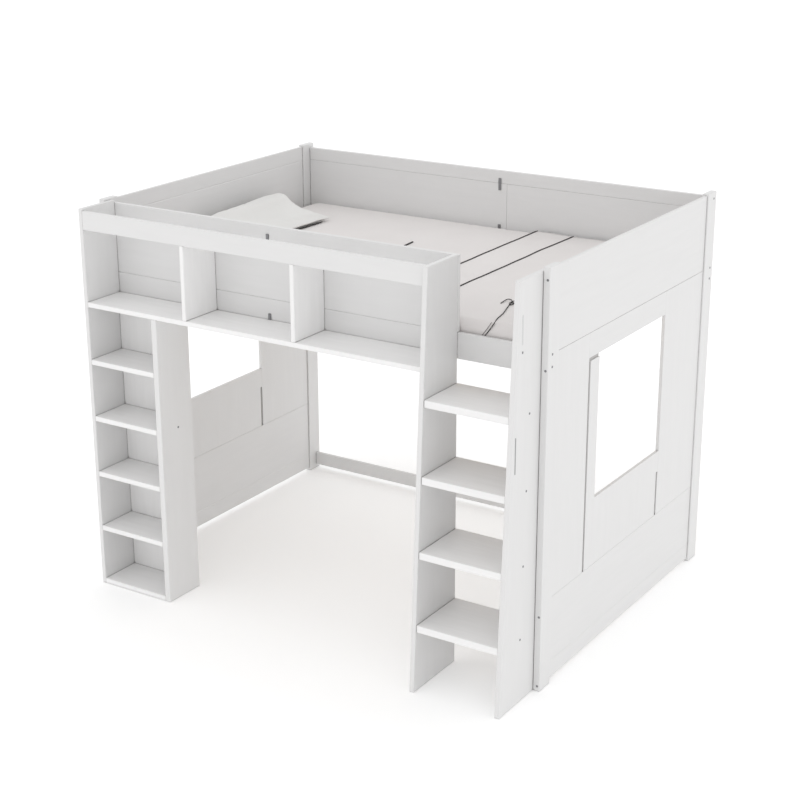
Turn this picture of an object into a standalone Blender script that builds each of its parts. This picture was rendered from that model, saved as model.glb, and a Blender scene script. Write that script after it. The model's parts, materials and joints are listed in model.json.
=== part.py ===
"""Loft bed with a built-in shelf bridge, a shelf tower and a fixed ladder.

Layout axes: X runs from the head end wall (0) to the foot end wall, Y from the
front face of the posts (0) to the back, Z up from the floor. Everything is
parented to one empty that puts the middle of the footprint at the origin.
Units are metres.
"""

import math

import bmesh
import bpy

# ---------------------------------------------------------------- driving sizes
GAP = 0.0003                    # clearance between pieces that touch
LENGTH = 2.080                  # outside of one end wall to outside of the other
DEPTH = 1.473                   # front face of the posts to their back face
POST_TOP = 1.654
WALL_TOP = 1.646

POST_X, POST_Y = 0.028, 0.083   # post section
WALL_INSET = 0.007              # wall boards sit back from both post faces
WALL_FOOT = 0.015               # wall boards clear the floor by this much
LOWER_SEAM, UPPER_SEAM = 0.358, 1.328
WINDOW_BOTTOM, WINDOW_TOP = 0.643, 1.230
JAMB_FRONT, WINDOW_FRONT, WINDOW_BACK = 0.343, 0.430, 1.022
WALL_GROOVE, BASE_GROOVE = 1.580, 0.089
GROOVE_WIDE, GROOVE_DEEP = 0.0040, 0.0020
MIDDLE_EDGE = 0.0005            # eased edges of the boards round the window
WALL_EDGE = 0.0030              # eased edges that show the seams between wall boards
JOINT_WIDE, JOINT_DEEP = 0.014, 0.0055  # shadow joints round the window board
JOINT_TOP = 0.552               # upper end of the shadow joint behind the window

GUARD_FRONT, GUARD_BACK = 0.042, 1.440  # front faces of the two long guards
GUARD_THICK = 0.018
GUARD_TOP = 1.636
RAIL_BOTTOM, RAIL_TOP = 1.244, 1.344
BACK_RAIL_SEAM = 1.579
BACK_CENTRE_SEAM = 1.104
FLOOR_RAIL_BOTTOM, FLOOR_RAIL_TOP = 0.020, 0.083

PANEL = 0.018                   # shelf and panel stock
BRIDGE_REACH = 0.1545           # front face of bridge and tower, ahead of the posts
BAND_BOTTOM, BAND_TOP = 1.561, 1.637
SHELF_TOP, SHELF_BOTTOM = 1.2585, 1.2385
DIVIDERS = (0.553, 1.080)       # middles of the two dividers

TOWER_RIGHT = 0.406             # right face of the tower
TOWER_SIDE = 0.026
TOWER_BACK = 0.010
TOWER_BAYS = 5
TOWER_PITCH = 0.2475
TOWER_SHELF = 0.0215
TOWER_FOOT = 0.002

UPRIGHT = 0.020                 # ladder sides
LADDER_LEFT, LADDER_RIGHT = 1.6625, LENGTH - POST_X - GAP
LADDER_TOP = 1.638
LADDER_REACH_TOP, LADDER_REACH_FOOT = 0.166, 0.260
STEPS = 4
STEP_FIRST, STEP_PITCH = 0.275, 0.2920
STEP_THICK, STEP_SETBACK = 0.029, 0.0035

CLEAT = 0.020
SLATS = 6
SLAT_WIDE, SLAT_THICK = 0.090, 0.015

MATTRESS_HEAD, MATTRESS_LONG = 0.070, 1.905
MATTRESS_FRONT, MATTRESS_BACK = 0.074, 1.428
MATTRESS_TOP = 1.384
COVERLET_HEAD, COVERLET_FOOT, COVERLET_THICK = 1.262, 1.930, 0.010
COVERLET_DROP = 0.052

INSIDE_HEAD, INSIDE_FOOT = POST_X, LENGTH - POST_X
PLATE_WIDE, PLATE_THICK = 0.013, 0.004

WHITE_PAINT = ("white_paint", (0.83, 0.825, 0.82), 0.42, 0.0)
SHELF_PAINT = ("shelf_paint", (0.80, 0.795, 0.79), 0.46, 0.0)
SLAT_WOOD = ("slat_wood", (0.72, 0.60, 0.44), 0.60, 0.0)
METAL = ("zinc_metal", (0.45, 0.45, 0.46), 0.35, 1.0)
TICKING = ("mattress_cotton", (0.80, 0.78, 0.76), 0.90, 0.0)
LINEN = ("pillow_cotton", (0.82, 0.80, 0.78), 0.88, 0.0)
QUILT = ("coverlet_cotton", (0.78, 0.76, 0.74), 0.92, 0.0)


def clear_scene():
    """Remove every object the file opened with."""
    for obj in list(bpy.data.objects):
        bpy.data.objects.remove(obj, do_unlink=True)


def material(spec):
    """Return the Principled material of a (name, colour, roughness, metallic) spec."""
    name, colour, roughness, metallic = spec
    found = bpy.data.materials.get(name)
    if found:
        return found
    made = bpy.data.materials.new(name)
    made.use_nodes = True
    shader = made.node_tree.nodes["Principled BSDF"]
    shader.inputs["Base Color"].default_value = (*colour, 1.0)
    shader.inputs["Roughness"].default_value = roughness
    shader.inputs["Metallic"].default_value = metallic
    made.diffuse_color = (*colour, 1.0)
    return made


def finish(obj, spec, edge, segments=1):
    """Link an object to the bed, give it its material and ease its edges."""
    bed.objects.link(obj)
    obj.parent = origin
    obj.data.materials.append(material(spec))
    if edge > 0:
        bevel = obj.modifiers.new("eased_edges", "BEVEL")
        bevel.width = edge
        bevel.segments = segments
        bevel.limit_method = "ANGLE"
        bevel.angle_limit = math.radians(35)
    return obj


def board(name, x, y, z, spec=WHITE_PAINT, edge=0.0015, segments=1):
    """Add a rectangular board from its (low, high) pairs along X, Y and Z."""
    size = [high - low for low, high in (x, y, z)]
    mesh = bpy.data.meshes.new(name)
    shape = bmesh.new()
    bmesh.ops.create_cube(shape, size=1.0)
    bmesh.ops.scale(shape, vec=size, verts=shape.verts)
    shape.to_mesh(mesh)
    shape.free()
    obj = bpy.data.objects.new(name, mesh)
    obj.location = [(low + high) / 2 for low, high in (x, y, z)]
    return finish(obj, spec, edge, segments)


def outline_board(name, points, plane, span, spec=WHITE_PAINT, edge=0.0015):
    """Extrude a flat outline: plane "XZ" goes along Y, plane "YZ" along X.

    points are layout coordinates in that plane and span is the (low, high)
    pair along the remaining axis.
    """
    drawing = bpy.data.curves.new(name + "_outline", "CURVE")
    drawing.dimensions = "2D"
    drawing.fill_mode = "BOTH"
    drawing.extrude = (span[1] - span[0]) / 2
    spline = drawing.splines.new("POLY")
    spline.points.add(len(points) - 1)
    for point, (across, up) in zip(spline.points, points):
        point.co = (across, up, 0.0, 1.0)
    spline.use_cyclic_u = True
    drawn = bpy.data.objects.new(name + "_outline", drawing)
    bpy.context.scene.collection.objects.link(drawn)
    graph = bpy.context.evaluated_depsgraph_get()
    mesh = bpy.data.meshes.new_from_object(drawn.evaluated_get(graph))
    bpy.data.objects.remove(drawn, do_unlink=True)
    mesh.name = name
    mesh.materials.clear()

    shape = bmesh.new()
    shape.from_mesh(mesh)
    bmesh.ops.remove_doubles(shape, verts=shape.verts, dist=0.00005)
    bmesh.ops.dissolve_limit(
        shape, angle_limit=math.radians(1), verts=shape.verts, edges=shape.edges)
    bmesh.ops.recalc_face_normals(shape, faces=shape.faces)
    shape.to_mesh(mesh)
    shape.free()

    obj = bpy.data.objects.new(name, mesh)
    middle = (span[0] + span[1]) / 2
    if plane == "XZ":
        obj.rotation_euler = (math.pi / 2, 0.0, 0.0)
        obj.location = (0.0, middle, 0.0)
    else:
        obj.rotation_euler = (math.pi / 2, 0.0, math.pi / 2)
        obj.location = (middle, 0.0, 0.0)
    return finish(obj, spec, edge)


def wall_section(inner, outer, bottom, top, groove, both_sides):
    """Return the XZ outline of a wall board with a V groove on its inner face."""
    inward = 1 if inner > outer else -1
    half, deep = GROOVE_WIDE / 2, GROOVE_DEEP * inward
    points = [(outer, bottom), (inner, bottom), (inner, groove - half),
              (inner - deep, groove), (inner, groove + half), (inner, top), (outer, top)]
    if both_sides:
        points += [(outer, groove + half), (outer + deep, groove), (outer, groove - half)]
    return points


def end_wall(side, inner, outer):
    """Build one end wall: two posts, five boards and the L-shaped window board.

    inner and outer are the X of the post faces towards and away from the bed.
    """
    low, high = sorted((inner, outer))
    post = (low, high)
    skin = (low + WALL_INSET, high - WALL_INSET)
    front_edge, back_edge = POST_Y + GAP, DEPTH - POST_Y - GAP
    inward = 1 if inner > outer else -1
    face, back = inner - WALL_INSET * inward, outer + WALL_INSET * inward

    board(f"{side}_post_front", post, (0.0, POST_Y), (0.0, POST_TOP), edge=0.003, segments=2)
    board(f"{side}_post_back", post, (DEPTH - POST_Y, DEPTH), (0.0, POST_TOP),
          edge=0.003, segments=2)
    outline_board(f"{side}_wall_top",
                  wall_section(face, back, UPPER_SEAM, WALL_TOP, WALL_GROOVE, False),
                  "XZ", (front_edge, back_edge), edge=WALL_EDGE)
    outline_board(f"{side}_wall_base",
                  wall_section(face, back, WALL_FOOT, LOWER_SEAM - GAP, BASE_GROOVE, True),
                  "XZ", (front_edge, back_edge), edge=WALL_EDGE)
    middle = (LOWER_SEAM, UPPER_SEAM - GAP)
    board(f"{side}_wall_front", skin, (front_edge, JAMB_FRONT - GAP), middle, edge=MIDDLE_EDGE)
    board(f"{side}_wall_back", skin, (WINDOW_BACK + GAP, back_edge), middle, edge=MIDDLE_EDGE)
    board(f"{side}_window_head", skin, (JAMB_FRONT, WINDOW_BACK),
          (WINDOW_TOP + GAP, UPPER_SEAM - GAP), edge=MIDDLE_EDGE)
    window_board(side, skin)


def window_board(side, skin):
    """Build the L-shaped board round a window and the strips in its shadow joints."""
    front, back = JAMB_FRONT + JOINT_WIDE, WINDOW_BACK - JOINT_WIDE
    arm_top = WINDOW_TOP - JOINT_WIDE
    outline_board(f"{side}_window_board", [
        (front + GAP, LOWER_SEAM), (back - GAP, LOWER_SEAM), (back - GAP, JOINT_TOP),
        (WINDOW_BACK, JOINT_TOP), (WINDOW_BACK, WINDOW_BOTTOM),
        (WINDOW_FRONT, WINDOW_BOTTOM), (WINDOW_FRONT, arm_top - GAP),
        (front + GAP, arm_top - GAP),
    ], "YZ", skin, edge=MIDDLE_EDGE)
    core = (skin[0] + JOINT_DEEP, skin[1] - JOINT_DEEP)
    outline_board(f"{side}_joint_front", [
        (JAMB_FRONT, LOWER_SEAM), (front, LOWER_SEAM), (front, arm_top),
        (WINDOW_FRONT, arm_top), (WINDOW_FRONT, WINDOW_TOP), (JAMB_FRONT, WINDOW_TOP),
    ], "YZ", core, edge=0.0)
    board(f"{side}_joint_back", core, (back, WINDOW_BACK), (LOWER_SEAM, JOINT_TOP - GAP),
          edge=0.0018)


def guards():
    """Build the long boards that join the end walls, front and back."""
    inside = (INSIDE_HEAD + GAP, INSIDE_FOOT - GAP)
    front = (GUARD_FRONT, GUARD_FRONT + GUARD_THICK)
    back = (GUARD_BACK, GUARD_BACK + GUARD_THICK)
    guard_right = LADDER_LEFT + UPRIGHT
    board("front_guard", (inside[0], guard_right), front, (RAIL_TOP + GAP, GUARD_TOP))
    board("front_bed_rail", inside, front, (RAIL_BOTTOM, RAIL_TOP))
    board("back_bed_rail", inside, back, (RAIL_BOTTOM, RAIL_TOP))
    board("back_guard_left", (inside[0], BACK_CENTRE_SEAM - GAP), back,
          (RAIL_TOP + GAP, BACK_RAIL_SEAM))
    board("back_guard_right", (BACK_CENTRE_SEAM, inside[1]), back,
          (RAIL_TOP + GAP, BACK_RAIL_SEAM))
    board("back_guard_cap", inside, back, (BACK_RAIL_SEAM + GAP, GUARD_TOP))
    board("back_floor_rail", inside, back, (FLOOR_RAIL_BOTTOM, FLOOR_RAIL_TOP))


def bridge():
    """Build the open shelf bridge: tall side panel, band, shelf and dividers."""
    reach = (-BRIDGE_REACH, GUARD_FRONT - GAP)
    left_face = INSIDE_HEAD + GAP
    inner_left = left_face + PANEL + GAP
    inner_right = LADDER_LEFT - GAP
    board("bridge_side_panel", (left_face, left_face + PANEL), reach, (0.0, WALL_TOP))
    board("bridge_band", (inner_left, inner_right), (-BRIDGE_REACH, -BRIDGE_REACH + PANEL),
          (BAND_BOTTOM, BAND_TOP))
    board("bridge_shelf", (inner_left, inner_right), reach, (SHELF_BOTTOM, SHELF_TOP),
          SHELF_PAINT)
    for number, middle in enumerate(DIVIDERS, 1):
        board(f"bridge_divider_{number}", (middle - PANEL / 2, middle + PANEL / 2), reach,
              (SHELF_TOP + GAP, BAND_BOTTOM - GAP), SHELF_PAINT)


def tower():
    """Build the shelf tower below the bridge's head end."""
    left = INSIDE_HEAD + GAP + PANEL + GAP
    right = TOWER_RIGHT - TOWER_SIDE - GAP
    back_face = GUARD_FRONT - GAP
    top = SHELF_BOTTOM - GAP
    board("tower_right_panel", (TOWER_RIGHT - TOWER_SIDE, TOWER_RIGHT),
          (-BRIDGE_REACH, back_face), (0.0, top))
    board("tower_back_panel", (left, right), (back_face - TOWER_BACK, back_face),
          (TOWER_FOOT, top), SHELF_PAINT, edge=0.0008)
    for number in range(1, TOWER_BAYS + 1):
        bottom = TOWER_FOOT + (number - 1) * TOWER_PITCH
        board(f"tower_shelf_{number}", (left, right),
              (-BRIDGE_REACH, back_face - TOWER_BACK - GAP),
              (bottom, bottom + TOWER_SHELF), SHELF_PAINT)


def ladder_reach(height):
    """Return how far ahead of the posts the ladder sides stand at a height."""
    share = height / LADDER_TOP
    return LADDER_REACH_FOOT + (LADDER_REACH_TOP - LADDER_REACH_FOOT) * share


def ladder():
    """Build the two tapered ladder sides and the deep flat steps."""
    back = GUARD_FRONT - GAP
    side = [(-LADDER_REACH_FOOT, 0.0), (back, 0.0), (back, LADDER_TOP),
            (-LADDER_REACH_TOP, LADDER_TOP)]
    outline_board("ladder_left_side", side, "YZ", (LADDER_LEFT, LADDER_LEFT + UPRIGHT))
    outline_board("ladder_right_side", side, "YZ", (LADDER_RIGHT - UPRIGHT, LADDER_RIGHT))
    width = (LADDER_LEFT + UPRIGHT + GAP, LADDER_RIGHT - UPRIGHT - GAP)
    for number in range(1, STEPS + 1):
        top = STEP_FIRST + (number - 1) * STEP_PITCH
        front = STEP_SETBACK - ladder_reach(top)
        board(f"ladder_step_{number}", width, (front, back), (top - STEP_THICK, top),
              SHELF_PAINT, edge=0.002)


def bed_base():
    """Build the cleats and slats that carry the mattress; return the slats' top."""
    inside = (INSIDE_HEAD + 2 * GAP, INSIDE_FOOT - 2 * GAP)
    front = GUARD_FRONT + GUARD_THICK + GAP
    back = GUARD_BACK - GAP
    cleat_top = RAIL_BOTTOM + CLEAT
    board("slat_cleat_front", inside, (front, front + CLEAT), (RAIL_BOTTOM, cleat_top), SLAT_WOOD)
    board("slat_cleat_back", inside, (back - CLEAT, back), (RAIL_BOTTOM, cleat_top), SLAT_WOOD)
    bottom = cleat_top + GAP
    pitch = (inside[1] - inside[0] - SLAT_WIDE) / (SLATS - 1)
    for number in range(1, SLATS + 1):
        low = inside[0] + (number - 1) * pitch
        low = min(max(low, inside[0] + GAP), inside[1] - GAP - SLAT_WIDE)
        board(f"slat_{number}", (low, low + SLAT_WIDE), (front, back),
              (bottom, bottom + SLAT_THICK), SLAT_WOOD)
    return bottom + SLAT_THICK


def bedding(slat_top):
    """Build simple closed solids for the mattress, the pillow and the coverlet."""
    board("mattress", (MATTRESS_HEAD, MATTRESS_HEAD + MATTRESS_LONG),
          (MATTRESS_FRONT, MATTRESS_BACK), (slat_top + GAP, MATTRESS_TOP), TICKING,
          edge=0.030, segments=4)
    bottom, top = MATTRESS_TOP + GAP, MATTRESS_TOP + GAP + COVERLET_THICK
    hang = MATTRESS_FRONT - 0.002
    outline_board("coverlet", [
        (hang, MATTRESS_TOP - COVERLET_DROP), (hang, bottom), (MATTRESS_BACK - 0.030, bottom),
        (MATTRESS_BACK - 0.030, top), (hang - COVERLET_THICK, top),
        (hang - COVERLET_THICK, MATTRESS_TOP - COVERLET_DROP),
    ], "YZ", (COVERLET_HEAD, COVERLET_FOOT), QUILT, edge=0.0)
    pillow()


def pillow():
    """Build the pillow as a flattened, pinched ellipsoid."""
    mesh = bpy.data.meshes.new("pillow")
    shape = bmesh.new()
    bmesh.ops.create_uvsphere(shape, u_segments=32, v_segments=14, radius=1.0)
    for vert in shape.verts:
        flat = max(abs(vert.co.x), abs(vert.co.y), 1e-6)
        around = math.hypot(vert.co.x, vert.co.y) or 1e-6
        square = around / flat
        vert.co.x *= PILLOW_SIZE[0] / 2 * (0.45 + 0.55 * square)
        vert.co.y *= PILLOW_SIZE[1] / 2 * (0.45 + 0.55 * square)
        vert.co.z *= PILLOW_SIZE[2] / 2
    shape.to_mesh(mesh)
    shape.free()
    obj = bpy.data.objects.new("pillow", mesh)
    obj.location = (*PILLOW_MIDDLE, MATTRESS_TOP + GAP + PILLOW_SIZE[2] / 2)
    obj.rotation_euler = (0.0, 0.0, PILLOW_TURN)
    finish(obj, LINEN, 0.0)


def plates():
    """Build the small metal joint plates on the long guards."""
    front = (GUARD_FRONT - GAP - PLATE_THICK, GUARD_FRONT - GAP)
    back = (GUARD_BACK - GAP - PLATE_THICK, GUARD_BACK - GAP)
    for name, middle, face, low, high in (
            ("plate_front_upper", PLATE_FRONT, front, 1.550, 1.604),
            ("plate_front_lower", PLATE_FRONT, front, SHELF_TOP + GAP, 1.284),
            ("plate_back_upper", PLATE_BACK, back, 1.548, 1.602),
            ("plate_back_lower", PLATE_BACK, back, 1.338, 1.392)):
        board(name, (middle - PLATE_WIDE / 2, middle + PLATE_WIDE / 2), face, (low, high),
              METAL, edge=0.0009)


PILLOW_SIZE = (0.335, 0.68, 0.100)
PILLOW_MIDDLE = (0.218, 0.815)
PILLOW_TURN = 0.0
PLATE_FRONT, PLATE_BACK = 0.826, 1.068

clear_scene()
bed = bpy.data.collections.new("loft_bed")
bpy.context.scene.collection.children.link(bed)
origin = bpy.data.objects.new("footprint_middle", None)
origin.location = (-LENGTH / 2, -(DEPTH - LADDER_REACH_FOOT) / 2, 0.0)
bed.objects.link(origin)

end_wall("head", POST_X, 0.0)
end_wall("foot", LENGTH - POST_X, LENGTH)
guards()
bridge()
tower()
ladder()
bedding(bed_base())
plates()
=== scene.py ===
"""Visual model of the loft bed: painted boards, screws, mattress, pillow and coverlet."""

import json
import logging
import math
from dataclasses import dataclass, field
from enum import Enum
from typing import Callable, Sequence

import bmesh
import bpy
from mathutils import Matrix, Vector, noise


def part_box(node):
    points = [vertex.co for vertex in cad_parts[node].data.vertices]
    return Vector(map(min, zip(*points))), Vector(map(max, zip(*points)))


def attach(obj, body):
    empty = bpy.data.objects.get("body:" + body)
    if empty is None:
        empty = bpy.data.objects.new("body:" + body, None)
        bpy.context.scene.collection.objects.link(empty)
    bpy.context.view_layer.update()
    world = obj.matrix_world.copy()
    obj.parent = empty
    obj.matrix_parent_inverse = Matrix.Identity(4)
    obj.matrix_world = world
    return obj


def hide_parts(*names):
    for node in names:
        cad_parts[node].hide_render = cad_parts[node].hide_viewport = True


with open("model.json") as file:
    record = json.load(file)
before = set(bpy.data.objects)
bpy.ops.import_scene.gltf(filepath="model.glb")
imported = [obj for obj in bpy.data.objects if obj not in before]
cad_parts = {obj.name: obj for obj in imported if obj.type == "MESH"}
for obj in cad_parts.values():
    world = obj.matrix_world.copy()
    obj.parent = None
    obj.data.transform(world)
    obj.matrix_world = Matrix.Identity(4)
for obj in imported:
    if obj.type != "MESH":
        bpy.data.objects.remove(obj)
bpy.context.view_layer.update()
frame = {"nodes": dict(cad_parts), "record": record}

logging.basicConfig(level=logging.INFO, format="%(message)s")
LOG = logging.getLogger("loft_bed")

BODY = "root"
UPRIGHT_LIMIT = 1e-4    # below this, a direction is taken as upright
WHITE = (1.0, 1.0, 1.0, 1.0)
Point = tuple[float, float, float]
Colour = tuple[float, float, float]
Ground = Callable[[float, float], float]    # the height of what lies below a place


class Grain(Enum):
    """The axis that the grain of a painted board runs along."""

    ALONG_X = (0.10, 1.0, 1.0)
    ALONG_Y = (1.0, 0.10, 1.0)
    ALONG_Z = (1.0, 1.0, 0.10)


class NodeSheet:
    """A small helper that adds and links the nodes of one material."""

    def __init__(self, name: str) -> None:
        """Start a material with a Principled shader and an output.

        Args:
            name: The material's name.
        """
        self.material = bpy.data.materials.new(name)
        self.material.use_nodes = True
        self.tree = self.material.node_tree
        self.shader = self.tree.nodes["Principled BSDF"]

    def add(self, kind: str, **settings: object) -> bpy.types.Node:
        """Add a node.

        Args:
            kind: The node's type name.
            settings: Properties to set on it, and inputs whose names start with "in_".

        Returns:
            The new node.
        """
        node = self.tree.nodes.new(kind)
        for name, value in settings.items():
            if name.startswith("in_"):
                node.inputs[name[3:].replace("_", " ")].default_value = value
            else:
                setattr(node, name, value)
        return node

    def link(self, source: bpy.types.NodeSocket, target: bpy.types.NodeSocket) -> None:
        """Join an output to an input."""
        self.tree.links.new(source, target)

    def feed(self, name: str, source: bpy.types.NodeSocket) -> None:
        """Join an output to the shader's input of this name."""
        self.link(source, self.shader.inputs[name])

    def object_coordinates(self, scale: Sequence[float] = (1.0, 1.0, 1.0),
                           turn: float = 0.0) -> bpy.types.NodeSocket:
        """Add Object coordinates to the sheet.

        Args:
            scale: The scale along each axis.
            turn: The turn about Z, in radians.

        Returns:
            The vector output.
        """
        place = self.add("ShaderNodeTexCoord")
        mapping = self.add("ShaderNodeMapping")
        mapping.inputs["Scale"].default_value = tuple(scale)
        mapping.inputs["Rotation"].default_value = (0.0, 0.0, turn)
        self.link(place.outputs["Object"], mapping.inputs["Vector"])
        return mapping.outputs["Vector"]

    def noise(self, where: bpy.types.NodeSocket, scale: float, detail: float = 4.0,
              roughness: float = 0.55, distortion: float = 0.0) -> bpy.types.NodeSocket:
        """Add a noise texture.

        Args:
            where: The coordinates.
            scale: How many features there are in a metre.
            detail: How many finer octaves are added.
            roughness: How strong the finer octaves are.
            distortion: How far the pattern is twisted.

        Returns:
            The value output.
        """
        node = self.add("ShaderNodeTexNoise", in_Scale=scale, in_Detail=detail,
                        in_Roughness=roughness, in_Distortion=distortion)
        self.link(where, node.inputs["Vector"])
        return node.outputs["Fac"]

    def spread(self, value: bpy.types.NodeSocket, low: float, high: float,
               start: float = 0.3, end: float = 0.7) -> bpy.types.NodeSocket:
        """Remap a value from start..end to low..high.

        Args:
            value: The value.
            low: The result at the start.
            high: The result at the end.
            start: The value that gives low.
            end: The value that gives high.

        Returns:
            The remapped output.
        """
        node = self.add("ShaderNodeMapRange")
        node.inputs["From Min"].default_value = start
        node.inputs["From Max"].default_value = end
        node.inputs["To Min"].default_value = low
        node.inputs["To Max"].default_value = high
        self.link(value, node.inputs["Value"])
        return node.outputs["Result"]

    def blend(self, share: bpy.types.NodeSocket, dark: Colour,
              light: Colour | bpy.types.NodeSocket) -> bpy.types.NodeSocket:
        """Mix two colours.

        Args:
            share: How much of the light colour shows.
            dark: The colour at share 0.
            light: The colour at share 1, or an output that gives it.

        Returns:
            The mixed colour output.
        """
        node = self.add("ShaderNodeMix", data_type="RGBA")
        ends = [socket for socket in node.inputs if socket.type == "RGBA"]
        ends[0].default_value = (*dark, 1.0)
        if isinstance(light, bpy.types.NodeSocket):
            self.link(light, ends[1])
        else:
            ends[1].default_value = (*light, 1.0)
        self.link(share, node.inputs["Factor"])
        return next(socket for socket in node.outputs if socket.type == "RGBA")

    def bump(self, height: bpy.types.NodeSocket, strength: float, distance: float,
             normal: bpy.types.NodeSocket | None = None) -> bpy.types.NodeSocket:
        """Bend the surface by a height.

        Args:
            height: The height.
            strength: How much of the bend is used.
            distance: The depth of the relief, in metres.
            normal: Another bent normal to start from.

        Returns:
            The bent normal.
        """
        node = self.add("ShaderNodeBump", in_Strength=strength, in_Distance=distance)
        self.link(height, node.inputs["Height"])
        if normal is not None:
            self.link(normal, node.inputs["Normal"])
        return node.outputs["Normal"]


@dataclass(frozen=True)
class PaintedBoard:
    """White satin paint over softwood and board, with the grain faintly telegraphing, and
    painted shade that darkens it in crevices and where boards meet.
    """

    name: str
    light: Colour
    dark: Colour
    grain: Grain
    grain_depth: float = 0.00010
    roller_depth: float = 0.00008
    streak_scale: float = 34.0
    fibre_scale: float = 210.0
    cloud_scale: float = 2.4
    roller_scale: float = 620.0
    streak_share: float = 0.7
    tone_from: float = 0.36
    tone_to: float = 0.64
    gloss_low: float = 0.36
    gloss_high: float = 0.50
    # Painted shade: ambient occlusion within this reach darkens the paint towards the shade
    # colour below, in crevices and where boards meet.
    crevice_shade_reach: float = 0.012
    crevice_shade_from: float = 0.25
    crevice_shade_to: float = 0.72
    painted_crevice_shade: Colour = (0.40, 0.395, 0.39)

    def build(self) -> bpy.types.Material:
        """Mix the paint.

        Returns:
            The material.
        """
        sheet = NodeSheet(self.name)
        along = sheet.object_coordinates(self.grain.value)
        plain = sheet.object_coordinates()
        streaks = sheet.noise(along, self.streak_scale, 7.0, 0.62, 0.35)
        fibres = sheet.noise(along, self.fibre_scale, 3.0, 0.5)
        clouds = sheet.noise(plain, self.cloud_scale, 3.0)
        roller = sheet.noise(plain, self.roller_scale, 2.0)
        paint = sheet.blend(self.tone(sheet, streaks, clouds), self.dark, self.light)
        # Painted shade: the ambient occlusion darkens the paint in crevices and where boards
        # meet.
        seam = sheet.add("ShaderNodeAmbientOcclusion", samples=8)
        seam.inputs["Distance"].default_value = self.crevice_shade_reach
        clear = sheet.spread(seam.outputs["AO"], 0.0, 1.0, self.crevice_shade_from, self.crevice_shade_to)
        sheet.feed("Base Color", sheet.blend(clear, self.painted_crevice_shade, paint))
        sheet.feed("Roughness", sheet.spread(clouds, self.gloss_low, self.gloss_high))
        normal = sheet.bump(streaks, 0.55, self.grain_depth)
        normal = sheet.bump(fibres, 0.25, self.grain_depth * 0.5, normal)
        normal = sheet.bump(roller, 0.12, self.roller_depth, normal)
        sheet.feed("Normal", normal)
        return sheet.material

    def tone(self, sheet: NodeSheet, streaks: bpy.types.NodeSocket,
             clouds: bpy.types.NodeSocket) -> bpy.types.NodeSocket:
        """Mix the grain's streaks with the soft clouds.

        Args:
            sheet: The material's sheet.
            streaks: The value of the streaks.
            clouds: The value of the clouds.

        Returns:
            How light the paint is at each place.
        """
        mixed = sheet.add("ShaderNodeMath", operation="MULTIPLY_ADD")
        mixed.inputs[1].default_value = self.streak_share
        sheet.link(streaks, mixed.inputs[0])
        faded = sheet.add("ShaderNodeMath", operation="MULTIPLY")
        faded.inputs[1].default_value = 1.0 - self.streak_share
        sheet.link(clouds, faded.inputs[0])
        sheet.link(faded.outputs[0], mixed.inputs[2])
        return sheet.spread(mixed.outputs[0], 0.0, 1.0, self.tone_from, self.tone_to)


@dataclass(frozen=True)
class PlanedPine:
    """Bare planed pine of the slats and cleats, with rings and fine fibres."""

    name: str = "planed_pine"
    light: Colour = (0.70, 0.56, 0.38)
    dark: Colour = (0.55, 0.40, 0.24)
    stretch: float = 0.06
    ring_scale: float = 26.0
    fibre_scale: float = 160.0
    fibre_depth: float = 0.0003

    def build(self) -> bpy.types.Material:
        """Make the wood.

        Returns:
            The material.
        """
        sheet = NodeSheet(self.name)
        along = sheet.object_coordinates((1.0, self.stretch, 1.0))
        rings = sheet.add("ShaderNodeTexWave", wave_type="BANDS", bands_direction="X",
                          in_Scale=self.ring_scale, in_Distortion=5.0, in_Detail=3.0)
        sheet.link(along, rings.inputs["Vector"])
        fibre = sheet.noise(along, self.fibre_scale, 4.0)
        tone = sheet.spread(rings.outputs["Fac"], 0.0, 1.0, 0.0, 1.0)
        sheet.feed("Base Color", sheet.blend(tone, self.dark, self.light))
        sheet.feed("Roughness", sheet.spread(fibre, 0.5, 0.7))
        sheet.feed("Normal", sheet.bump(fibre, 0.4, self.fibre_depth))
        return sheet.material


@dataclass(frozen=True)
class ZincSteel:
    """Zinc plated steel of plates and screw heads."""

    name: str = "zinc_steel"
    light: Colour = (0.34, 0.34, 0.35)
    dark: Colour = (0.20, 0.20, 0.21)
    spangle_scale: float = 240.0
    spangle_depth: float = 0.0002
    metallic: float = 0.85

    def build(self) -> bpy.types.Material:
        """Plate the steel.

        Returns:
            The material.
        """
        sheet = NodeSheet(self.name)
        spangle = sheet.noise(sheet.object_coordinates(), self.spangle_scale, 3.0)
        tone = sheet.spread(spangle, 0.0, 1.0)
        sheet.feed("Base Color", sheet.blend(tone, self.dark, self.light))
        sheet.feed("Roughness", sheet.spread(spangle, 0.32, 0.48))
        sheet.shader.inputs["Metallic"].default_value = self.metallic
        sheet.feed("Normal", sheet.bump(spangle, 0.2, self.spangle_depth))
        return sheet.material


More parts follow.
